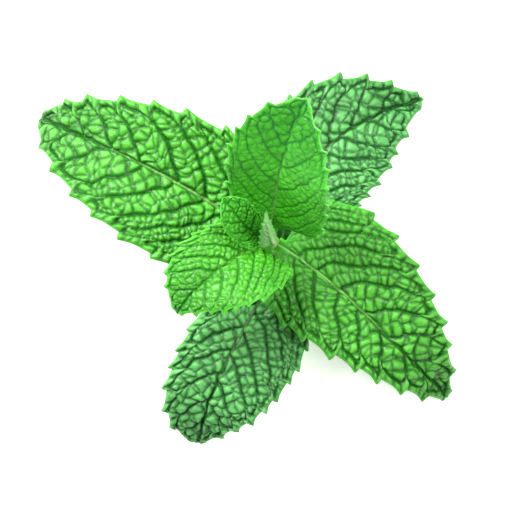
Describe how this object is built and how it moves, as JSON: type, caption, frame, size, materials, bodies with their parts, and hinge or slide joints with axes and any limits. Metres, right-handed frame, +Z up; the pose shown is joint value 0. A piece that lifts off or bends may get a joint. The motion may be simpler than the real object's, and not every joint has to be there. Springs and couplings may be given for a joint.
{
  "type": "spearmint sprig",
  "caption": "Leafy tip of a mint shoot with toothed, crinkled leaves in crossed pairs on a short cut stem, lying face up.",
  "frame": {"origin": "on the surface that the sprig lies on, under the middle of its bounding box", "axes": "+X along the longest extent, from the tip of the middle left leaf towards the middle right leaf; +Y towards the upper back leaf; +Z up, out of the face of the sprig"},
  "size_m": [0.0842, 0.075, 0.0444],
  "materials": {
    "stem": "fresh square green stem, finely hairy, satin",
    "lower_leaf": "mature mint leaf, deep green, crinkled, satin",
    "middle_leaf": "full grown mint leaf, mid green, crinkled, satin",
    "upper_leaf": "young mint leaf, fresh yellow green, finely crinkled, satin",
    "tip_leaf": "youngest mint leaf, pale green, downy"
  },
  "bodies": {
    "root": {"stem": "stem", "lower_leaf_right": "lower_leaf", "lower_leaf_front": "lower_leaf", "middle_leaf_left": "middle_leaf", "middle_leaf_right": "middle_leaf", "upper_leaf_back": "upper_leaf", "upper_leaf_front": "upper_leaf", "tip_leaf_left": "tip_leaf", "tip_leaf_right": "tip_leaf"}
  },
  "joints": []
}
